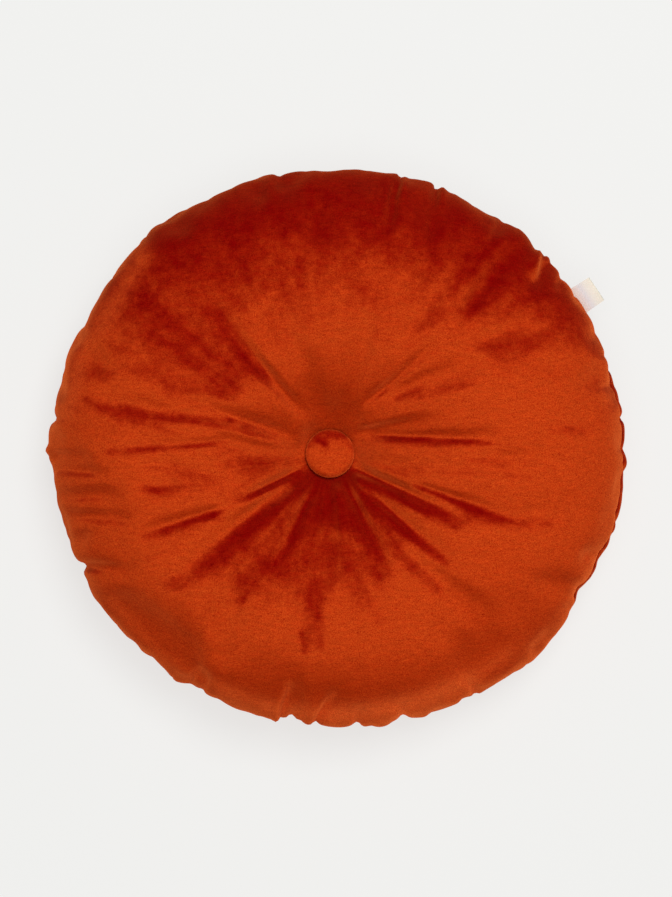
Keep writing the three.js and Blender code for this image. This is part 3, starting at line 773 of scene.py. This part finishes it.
# Painted highlights on the cloth, with the same columns.
PAINTED_HIGHLIGHT_MARKS = [
    (223, 692, 267, 708, 5, 0.4), (267, 708, 336, 716, 6, 0.6), (336, 716, 405, 707, 7, 0.85),
    (405, 707, 470, 680, 7, 0.75), (470, 680, 508, 653, 5, 0.3), (142, 258, 100, 330, 6, 0.35),
    (84, 340, 68, 410, 6, 0.35),
]
# Painted shade on slopes, in the seam's groove and in the puckers, then the rim's painted sheen.
UP_THE_FACE, DOWN_THE_FACE = (-0.06, 0.56), (0.08, 0.60)
SEEN_FROM_ABOVE = (-0.1, 0.2)
SEAM_SHADE_HALF, SEAM_SHADE_WIDER = 2.8, 2.6
PUCKER_SHADE, PUCKER_IS_DEEP = 0.75, 0.6 * PUCKER_DEPTH
RED_DULLS_EDGE = 0.85
PAINTED_SHEEN_STARTS = (0.16, 0.86)

# Painted highlights on the outermost cloth: (angle, half its width, strength).
RIM_PAINTED_HIGHLIGHTS = [
    (159, 9, 1), (180, 5, 0.8), (227, 9, 0.4), (251, 8, 0.7), (283, 15, 1), (315, 13, 0.8), (334, 8, 0.7),
    (21, 8, 0.6), (33, 6, 1),
]
RIM_HIGHLIGHT_PAINT_STARTS = (0.35, 0.85)


def painted_marks(x, y, marks):
    """How strongly the marks paint each place, as red and as brown painted shade. They are soft and add up
    where they cross.
    """
    not_red, not_brown = np.ones_like(x), np.ones_like(x)
    for *line, half, darker in marks:
        x0, y0, x1, y1 = line_in_photo(*line)
        along = np.clip(from_line(x, y, x0, y0, x1, y1)[0], 0, 1)
        aside = np.hypot(x - x0 - along * (x1 - x0), y - y0 - along * (y1 - y0))
        not_red *= 1 - max(darker, 0) * bell(aside, half)
        not_brown *= 1 - max(-darker, 0) * bell(aside, half)
    return 1 - not_red, 1 - not_brown


def in_puckers(places):
    """1 at the bottom of the puckers and 0 between them."""
    at = angle_of(places[:, 0], places[:, 1])
    at_rim = np.hypot(places[:, 0], places[:, 1]) > FULLEST_RADIUS
    return np.clip(-puckers(at, places[:, 2] - seam_height(at)) / PUCKER_IS_DEEP, 0, 1) * at_rim


def work_out_painted_shade(mesh, marks, smoothed, slope_share):
    """The painted shade of each point, from -1, brown, to 1, dark red."""
    places = vertex_places(mesh)
    normals = vertex_normals(mesh)
    x, y = seen_from_above(*places.T)
    red_marks, brown_marks = painted_marks(x, y, marks)
    seen = ease(normals[:, 2], *SEEN_FROM_ABOVE)
    # Painted red shade on slopes that look up the face, and from the marks.
    red = 1 - (1 - slope_share * ease(normals[:, 1], *UP_THE_FACE)) * (1 - red_marks * seen)
    at = angle_of(x, y)
    at_rim = np.hypot(x, y) > FULLEST_RADIUS
    # Painted shade in the seam's groove, wider where the seam rolls over.
    in_seam = bell(places[:, 2] - seam_height(at), SEAM_SHADE_HALF + SEAM_SHADE_WIDER * rolled(at))
    red = np.maximum(red, in_seam * at_rim)
    # Painted brown shade on slopes that look down the face, from the marks, and in the puckers.
    brown_slopes = ease(-normals[:, 1], *DOWN_THE_FACE) * ease(normals[:, 2], 0.15, 0.7)
    brown = 1 - (1 - brown_slopes) * (1 - brown_marks * seen) * (1 - PUCKER_SHADE * in_puckers(places))
    even, _ = painted_marks(x, y, smoothed)
    return (red - brown * (1 - red)) * (1 - even * seen)


def painted_sheen_at_rim(mesh, shade, shining):
    """The painted sheen: 1 where the cloth turns down at the rim, more under painted highlights, and less
    where it is red.
    """
    places = vertex_places(mesh)
    upwards = vertex_normals(mesh)[:, 2]
    lit, _ = painted_marks(*seen_from_above(*places.T), shining)
    edge = 1 - (1 - ease(1 - upwards, *PAINTED_SHEEN_STARTS)) * (1 - lit * ease(upwards, -0.2, 0.2))
    edge *= 1 - RED_DULLS_EDGE * np.clip(shade, 0, 1)
    at = angle_of(places[:, 0], places[:, 1])
    glow = sum(strength * bell(turn(at, middle), half) for middle, half, strength in RIM_PAINTED_HIGHLIGHTS)
    outermost = ease(1 - upwards, *RIM_HIGHLIGHT_PAINT_STARTS) * ease(places[:, 2] - seam_height(at), -4, 2)
    return (edge + glow * outermost) * (1 - PUCKER_SHADE * in_puckers(places))


def keep(mesh, name, values):
    attribute = mesh.attributes.new(name, "FLOAT", "POINT")
    attribute.data.foreach_set("value", values.astype(np.float32))


# Keeps the painted shade and the painted sheen of each point in the mesh.
def keep_painted_light(mesh, marks, smoothed=(), shining=(), slope_share=0.92):
    shade = work_out_painted_shade(mesh, marks, smoothed, slope_share)
    keep(mesh, "pile_painted_shade", shade)
    keep(mesh, "pile_painted_sheen", painted_sheen_at_rim(mesh, shade, shining))


keep_painted_light(cover.data, PAINTED_SHADE_MARKS, FADED_SHADE_MARKS, PAINTED_HIGHLIGHT_MARKS)

# %% [markdown]
# The velvet's material turns that painted shade into colour, and mixes a painted sheen, a paler
# orange, into the rim as the second value says. Two noises break the shade up, one in streaks that
# run out from the button and one in blotches. They work most where the shade is half way to red, so
# that smooth parts stay smooth. A fine grain stands for the tips of the pile, and a softer one, drawn
# out in ribs, for its rows. Red follows the tips less than green and blue do, so the grain sparkles
# from deep red to orange. Sheen lights what is seen at a slant.

# %% Velvet
VELVET_SURFACE = {
    "Roughness": 0.92, "Specular IOR Level": 0.01,
    "Sheen Weight": 0.35, "Sheen Roughness": 0.35, "Sheen Tint": (1.0, 0.22, 0.04, 1),
}
# The painted sheen at the rim: its paler orange and how much of it is mixed in.
PAINTED_SHEEN_COLOUR, PAINTED_SHEEN_SHARE = (1.0, 0.150, 0.027, 1), 0.37
STREAKY_SHARE, BLOTCHY_SHARE = 0.42, 0.58
SWAY_EVERYWHERE, SWAY_HALF_WAY = 0.42, 8.5
STREAKS, BLOTCHES = (1.0, 4, 0.6), (125, 8, 0.74)
TIPS, RIBS, RIB_SHAPE = (1400, 3, 0.75), (420, 3, 0.6), (0.32, 1.2, 1)
RIB_STRENGTH, RIB_LEVEL = 0.6, 0.70
TIPS_IN_RED, TIPS_IN_GREEN_AND_BLUE, DARKEST_GRAIN = 1.9, 4.6, 0.12
TIP_HEIGHT, RIB_HEIGHT = 0.6, 0.9
PILE_BUMP_STRENGTH, PILE_BUMP_DEPTH = 0.35, 0.5 * MM
# Colours from -1, brown painted shade, over 0, the velvet's own orange, to 1, dark red painted shade.
PILE_AND_PAINTED_SHADE_COLOURS = [
    (-1.00, (0.340, 0.0225, 0.0022, 1)),
    (-0.25, (0.445, 0.0370, 0.0042, 1)),
    (0.00, (0.455, 0.0395, 0.0046, 1)),
    (0.20, (0.430, 0.0330, 0.0040, 1)),
    (0.45, (0.340, 0.0190, 0.0024, 1)),
    (0.72, (0.262, 0.0075, 0.0012, 1)),
    (1.00, (0.190, 0.0010, 0.0006, 1)),
]


def node(tree, kind, **inputs):
    """Adds a node and sets its sockets, by a value or by a socket to be linked."""
    new = tree.nodes.new(kind)
    for name, value in inputs.items():
        socket = new.inputs[int(name[1:])] if name[0] == "i" and name[1:].isdigit() else new.inputs[name]
        if isinstance(value, bpy.types.NodeSocket):
            tree.links.new(value, socket)
        else:
            socket.default_value = value
    return new


def maths(tree, operation, first, second=0.5, third=0.5):
    new = node(tree, "ShaderNodeMath", i0=first, i1=second, i2=third)
    new.operation = operation
    return new.outputs[0]


def noise(tree, vector, scale, detail, roughness):
    new = node(tree, "ShaderNodeTexNoise", Vector=vector, Scale=scale, Detail=detail, Roughness=roughness)
    return new.outputs["Fac"]


def mixed(tree, first, first_share, second, second_share):
    first_part = maths(tree, "MULTIPLY", first, first_share)
    return maths(tree, "ADD", first_part, maths(tree, "MULTIPLY", second, second_share))


def colour_ramp(tree, factor, colours):
    """The colour at a factor from 0 to 1, which runs from the first place in the list to the last."""
    ramp = node(tree, "ShaderNodeValToRGB", Fac=factor)
    stops = ramp.color_ramp.elements
    stops.remove(stops[1])
    (start, colour), (end, _) = colours[0], colours[-1]
    stops[0].position, stops[0].color = 0, colour
    for at, colour in colours[1:]:
        stops.new((at - start) / (end - start)).color = colour
    return ramp.outputs["Color"]


def new_material(name, values):
    """A material, its node tree and its shader, with plain values on the shader's sockets."""
    material = bpy.data.materials.new(name)
    material.use_nodes = True
    shader = material.node_tree.nodes["Principled BSDF"]
    for socket, value in values.items():
        shader.inputs[socket].default_value = value
    return material, material.node_tree, shader


def dress_shader(tree, shader, colour, strength, distance, height):
    tree.links.new(colour, shader.inputs["Base Color"])
    bump = node(tree, "ShaderNodeBump", Strength=strength, Distance=distance, Height=height)
    tree.links.new(bump.outputs["Normal"], shader.inputs["Normal"])


def from_the_tuft(tree):
    """Object coordinates with the button at their middle, as (direction out, how far out)."""
    coordinates = tree.nodes.new("ShaderNodeTexCoord")
    mapping = node(tree, "ShaderNodeMapping", Vector=coordinates.outputs["Object"])
    mapping.inputs["Location"].default_value = (-TUFT[0] * MM, -TUFT[1] * MM, 0)
    parts = node(tree, "ShaderNodeSeparateXYZ", Vector=mapping.outputs[0])
    flat = node(tree, "ShaderNodeCombineXYZ", X=parts.outputs[0], Y=parts.outputs[1])
    direction = node(tree, "ShaderNodeVectorMath", i0=flat.outputs[0])
    direction.operation = "NORMALIZE"
    distance = node(tree, "ShaderNodeVectorMath", i0=flat.outputs[0])
    distance.operation = "LENGTH"
    return coordinates.outputs["Object"], direction.outputs["Vector"], distance.outputs["Value"]


def streaks(tree, direction, distance, around, outwards):
    parts = node(tree, "ShaderNodeSeparateXYZ", Vector=direction)
    x = maths(tree, "MULTIPLY", parts.outputs[0], around)
    y = maths(tree, "MULTIPLY", parts.outputs[1], around)
    z = maths(tree, "MULTIPLY", distance, outwards)
    return node(tree, "ShaderNodeCombineXYZ", X=x, Y=y, Z=z).outputs[0]


def kept_value(tree, name):
    attribute = tree.nodes.new("ShaderNodeAttribute")
    attribute.attribute_name = name
    return attribute.outputs["Fac"]


def velvet(name, around=8.0, outwards=16.0):
    material, tree, shader = new_material(name, VELVET_SURFACE)
    place, direction, distance = from_the_tuft(tree)
    # The painted shade and the painted sheen kept in the mesh.
    shade = kept_value(tree, "pile_painted_shade")
    edge = kept_value(tree, "pile_painted_sheen")

    streaky = noise(tree, streaks(tree, direction, distance, around, outwards), *STREAKS)
    blotchy = noise(tree, place, *BLOTCHES)
    broken = mixed(tree, streaky, STREAKY_SHARE, blotchy, BLOTCHY_SHARE)
    turned = maths(tree, "MAXIMUM", shade, 0.0)
    half_way = maths(tree, "MULTIPLY", turned, maths(tree, "SUBTRACT", 1.0, turned))
    room = maths(tree, "MULTIPLY_ADD", half_way, SWAY_HALF_WAY, SWAY_EVERYWHERE)
    swayed = maths(tree, "MULTIPLY", maths(tree, "SUBTRACT", broken, 0.5), room)
    pile = maths(tree, "ADD", shade, swayed)

    colour = colour_ramp(tree, maths(tree, "MULTIPLY_ADD", pile, 0.5, 0.5), PILE_AND_PAINTED_SHADE_COLOURS)

    ribbed = node(tree, "ShaderNodeMapping", Vector=place)
    ribbed.inputs["Scale"].default_value = RIB_SHAPE
    grain = noise(tree, place, *TIPS)
    soft_grain = noise(tree, ribbed.outputs[0], *RIBS)
    tips = maths(tree, "SUBTRACT", grain, 0.5)
    ribs = maths(tree, "MULTIPLY_ADD", soft_grain, RIB_STRENGTH, RIB_LEVEL)
    warm = maths(tree, "MULTIPLY_ADD", tips, TIPS_IN_RED, ribs)
    pale = maths(tree, "MULTIPLY_ADD", tips, TIPS_IN_GREEN_AND_BLUE, ribs)
    pale = maths(tree, "MAXIMUM", pale, DARKEST_GRAIN)
    lightness = node(tree, "ShaderNodeCombineXYZ", X=warm, Y=pale, Z=pale)
    # Mixes the painted sheen into the rim.
    lit_edge = node(tree, "ShaderNodeMix", Factor=maths(tree, "MULTIPLY", edge, PAINTED_SHEEN_SHARE))
    lit_edge.data_type = "RGBA"
    tree.links.new(colour, lit_edge.inputs[6])
    lit_edge.inputs[7].default_value = PAINTED_SHEEN_COLOUR
    grained = node(tree, "ShaderNodeVectorMath", i0=lit_edge.outputs[2])
    grained.operation = "MULTIPLY"
    tree.links.new(lightness.outputs[0], grained.inputs[1])
    pile_height = mixed(tree, grain, TIP_HEIGHT, soft_grain, RIB_HEIGHT)
    colour = grained.outputs["Vector"]
    dress_shader(tree, shader, colour, PILE_BUMP_STRENGTH, PILE_BUMP_DEPTH, pile_height)
    return material


cover.data.materials.append(velvet("burnt_orange_velvet"))
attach(cover, "root")
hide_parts("cushion_body")

# %% [markdown]
# A covered button is a metal or plastic shell with a disc of the same velvet stretched over it and
# tucked in behind. Its section is a list of shares of its radius and thickness. A circle is extruded
# and resized from one row to the next, and rounded by subdivision. Small tucks run under its edge,
# where the spare cloth is gathered in.

# %% Covered buttons
BUTTON_SECTION = [
    (0.76, 0.00), (0.90, 0.03), (0.985, 0.16), (1.00, 0.34), (0.995, 0.50),
    (0.965, 0.66), (0.90, 0.79), (0.78, 0.885), (0.60, 0.95), (0.38, 0.985), (0.16, 1.00),
]
BUTTON_SPOKES = 60
TUCKS, TUCK_DEPTH, TUCKS_FADE = 20, 0.35, (0.05, 0.42)
# Painted shade on the button: near column and row, far column and row, half its width, strength.
BUTTON_PAINTED_SHADE = [
    (319, 440, 324, 443, 3.8, 0.95), (328, 436, 344, 436, 2, 0.45), (340, 438, 351, 448, 3, 0.42),
    (330, 475, 342, 475, 1.8, 0.5), (311, 446, 314, 441, 2, 0.25),
]


def covered_button(name, base_height, way, marks):
    deselect_all()
    first_share, _ = BUTTON_SECTION[0]
    bpy.ops.mesh.primitive_circle_add(
        vertices=BUTTON_SPOKES,
        radius=first_share * BUTTON_RADIUS * MM,
        location=(TUFT[0] * MM, TUFT[1] * MM, base_height * MM),
    )
    button = bpy.context.object
    button.name = name
    bpy.ops.object.transform_apply(location=True, rotation=True, scale=True)
    bpy.ops.object.mode_set(mode="EDIT")
    bpy.ops.mesh.select_all(action="SELECT")
    for (share, level), (next_share, next_level) in zip(BUTTON_SECTION, BUTTON_SECTION[1:]):
        rise = way * (next_level - level) * BUTTON_THICKNESS * MM
        bpy.ops.mesh.extrude_region_move(TRANSFORM_OT_translate={"value": (0, 0, rise)})
        wider = next_share / share
        bpy.ops.transform.resize(value=(wider, wider, 1))
    bpy.ops.object.mode_set(mode="OBJECT")
    put_in_order(button.data, BUTTON_SPOKES, TUFT)
    tuck_in(button.data, base_height, way)
    modify(button, "SUBSURF", levels=2)
    close_holes(button)
    bpy.ops.object.shade_smooth()
    # The button gets painted shade and painted sheen as the cover does, with half the slopes' shade.
    keep_painted_light(button.data, marks, slope_share=0.5)
    button.data.materials.append(tight_velvet)
    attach(button, "root")
    return button


def tuck_in(mesh, base_height, way):
    """Draws the cloth in at even steps round the underside of the edge."""
    places = vertex_places(mesh)
    level = way * (places[:, 2] - base_height) / BUTTON_THICKNESS
    at = np.arctan2(places[:, 1] - TUFT[1], places[:, 0] - TUFT[0])
    depth = TUCK_DEPTH * (1 - ease(level, *TUCKS_FADE)) * (0.5 + 0.5 * np.cos(TUCKS * at))
    outwards = np.stack([np.cos(at), np.sin(at)], axis=1)
    places[:, :2] -= outwards * depth[:, None]
    move_vertices(mesh, places)


tight_velvet = velvet("tight_velvet", around=1.2, outwards=60.0)
front_button = covered_button("front_button", face_button_low[2], FACE, BUTTON_PAINTED_SHADE)
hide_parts("face_button")
rear_button = covered_button("rear_button", back_button_high[2], BACK, [])
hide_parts("back_button")
print("button:", len(front_button.data.polygons), "faces")

# %% [markdown]
# The label is a strip of satin ribbon, folded double with its ends caught in the seam. It starts as
# a flat grid of its cut size, and each row is then laid along the folded section: out along the lower
# layer, round the bend, and back along the upper one. Solidify gives the ribbon its thickness. The
# flat size goes into the mesh as its UV map, so the weave follows the fold.

# %% Blank label
LABEL_AT, LABEL_LEAN = 31.3, 2.4
LABEL_WIDTH, LABEL_REACH = 20.4, 19
LABEL_BEND_RADIUS = 0.8
RIBBON_THICKNESS = 0.45
LABEL_CLEAR_OF_SEAM = 1.6
LABEL_CURL, LABEL_NARROWS = 0.9, 0.05
LABEL_STRAIGHT = LABEL_REACH - LABEL_BEND_RADIUS - RIBBON_THICKNESS / 2
LABEL_LENGTH = 2 * LABEL_STRAIGHT + math.pi * LABEL_BEND_RADIUS


def folded_ribbon(along, across):
    """Where a point of the flat strip goes: out from the seam, sideways and up."""
    bend = LABEL_BEND_RADIUS
    angle = np.clip((along - LABEL_STRAIGHT) / bend, 0, math.pi)
    back = np.clip(along - LABEL_STRAIGHT - math.pi * bend, 0, None)
    out = np.clip(along, 0, LABEL_STRAIGHT) + bend * np.sin(angle) - back
    up = -bend * np.cos(angle)
    clear_of_seam = np.clip(out / LABEL_REACH, 0, 1)
    curl = LABEL_CURL * ((across / (LABEL_WIDTH / 2)) ** 2 - 0.4) * clear_of_seam**1.5
    return out, across * (1 - LABEL_NARROWS * out / LABEL_REACH), up - curl


def blank_label():
    deselect_all()
    bpy.ops.mesh.primitive_grid_add(x_subdivisions=90, y_subdivisions=24, size=1)
    label = bpy.context.object
    label.name = "blank_label"
    flat = vertex_places(label.data) * MM
    along = (flat[:, 0] + 0.5) * LABEL_LENGTH
    across = flat[:, 1] * LABEL_WIDTH
    out, side, up = folded_ribbon(along, across)
    root_at = np.array([float(LABEL_AT)])
    root = plain_outline(root_at) + gathered(root_at, np.zeros(1)) - SEAM_DRAWN_IN + LABEL_CLEAR_OF_SEAM
    facing = math.radians(LABEL_AT + LABEL_LEAN)
    x = root * cos_at(root_at) + out * math.cos(facing) - side * math.sin(facing)
    y = root * np.sin(np.radians(root_at)) + out * math.sin(facing) + side * math.cos(facing)
    move_vertices(label.data, np.stack([x, y, up + seam_height(root_at)], axis=1))
    modify(label, "SOLIDIFY", thickness=RIBBON_THICKNESS * MM, offset=0)
    bpy.ops.object.shade_smooth_by_angle(angle=math.radians(40))
    return label


# Cream at the bend, greyer half way with painted shade, and near the seam a painted reflection of the
# velvet's orange.
CREAM_SATIN_WITH_PAINTED_SHADE_AND_REFLECTION = [
    (0.00, (0.74, 0.68, 0.55, 1)),
    (0.30, (0.70, 0.65, 0.57, 1)),
    (0.50, (0.61, 0.575, 0.575, 1)),
    (0.72, (0.66, 0.55, 0.50, 1)),
    (1.00, (0.70, 0.52, 0.42, 1)),
]


WEAVE_SCALE, WEAVE_WAVERS = 0.9, 0.6
THREADS = (2.2, 3, 0.6)
WEAVE_CONTRAST, WEAVE_DARKEST = 0.16, 0.92
WEAVE_BUMP_STRENGTH, WEAVE_BUMP_DEPTH = 0.4, 0.2 * MM


def satin():
    material, tree, shader = new_material("cream_satin", {"Roughness": 0.5, "Sheen Weight": 0.15})
    flat = tree.nodes.new("ShaderNodeUVMap")
    mapping = node(tree, "ShaderNodeMapping", Vector=flat.outputs["UV"])
    mapping.inputs["Scale"].default_value = (LABEL_LENGTH, LABEL_WIDTH, 1)
    ribs = tree.nodes.new("ShaderNodeTexWave")
    ribs.bands_direction = "X"
    ribs.inputs["Scale"].default_value = WEAVE_SCALE
    ribs.inputs["Distortion"].default_value = WEAVE_WAVERS
    tree.links.new(mapping.outputs[0], ribs.inputs["Vector"])
    thread = noise(tree, mapping.outputs[0], *THREADS)
    woven = mixed(tree, ribs.outputs["Fac"], 0.5, thread, 0.5)
    along = node(tree, "ShaderNodeSeparateXYZ", Vector=flat.outputs["UV"]).outputs[0]
    from_bend = maths(tree, "MULTIPLY", maths(tree, "ABSOLUTE", maths(tree, "SUBTRACT", along, 0.5)), 2.0)
    thready = node(tree, "ShaderNodeVectorMath", i0=colour_ramp(tree, from_bend, CREAM_SATIN_WITH_PAINTED_SHADE_AND_REFLECTION))
    thready.operation = "SCALE"
    shade = maths(tree, "MULTIPLY_ADD", woven, WEAVE_CONTRAST, WEAVE_DARKEST)
    tree.links.new(shade, thready.inputs["Scale"])
    colour = thready.outputs["Vector"]
    dress_shader(tree, shader, colour, WEAVE_BUMP_STRENGTH, WEAVE_BUMP_DEPTH, woven)
    return material


label = blank_label()
label.data.materials.append(satin())
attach(label, "root")
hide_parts("seam_label")
print(f"label strip {LABEL_WIDTH:.1f} by {LABEL_LENGTH:.1f} mm before it is folded")

# %% [markdown]
# The photograph has a plain pale ground and hardly a shadow, so the stage is one pale floor that
# glows a little, under a weak, even sky. A soft light stands beyond the top of the face, to the right,
# and a larger one hangs overhead. Together they show the folds without a hard shadow.

# %% Floor and light
def pale_floor():
    deselect_all()
    bpy.ops.mesh.primitive_plane_add(size=8, location=(0, 0, 0))
    floor = bpy.context.object
    floor.name = "pale_floor"
    material, *_ = new_material("pale_floor", {
        "Base Color": (0.19, 0.19, 0.1868, 1), "Roughness": 1.0, "Specular IOR Level": 0.0,
        "Emission Color": (1.0, 1.0, 0.982, 1), "Emission Strength": 0.676,
    })
    floor.data.materials.append(material)


def soft_light(name, place, size, power):
    deselect_all()
    bpy.ops.object.light_add(type="AREA", location=place)
    light = bpy.context.object
    light.name = name
    light.data.shape = "DISK"
    light.data.size = size
    light.data.energy = power
    towards = Vector((0, 0, 0.06)) - light.location
    light.rotation_euler = towards.to_track_quat("-Z", "Y").to_euler()


pale_floor()
soft_light("key_from_the_top", (0.45, 0.75, 2.3), 1.0, 33)
soft_light("overhead", (0.0, -0.25, 2.5), 1.8, 27)

sky = bpy.data.worlds.new("even_sky")
bpy.context.scene.world = sky
sky.use_nodes = True
sky.node_tree.nodes["Background"].inputs["Color"].default_value = (1, 1, 1, 1)
sky.node_tree.nodes["Background"].inputs["Strength"].default_value = 0.22
bpy.context.scene.view_settings.view_transform = "Standard"
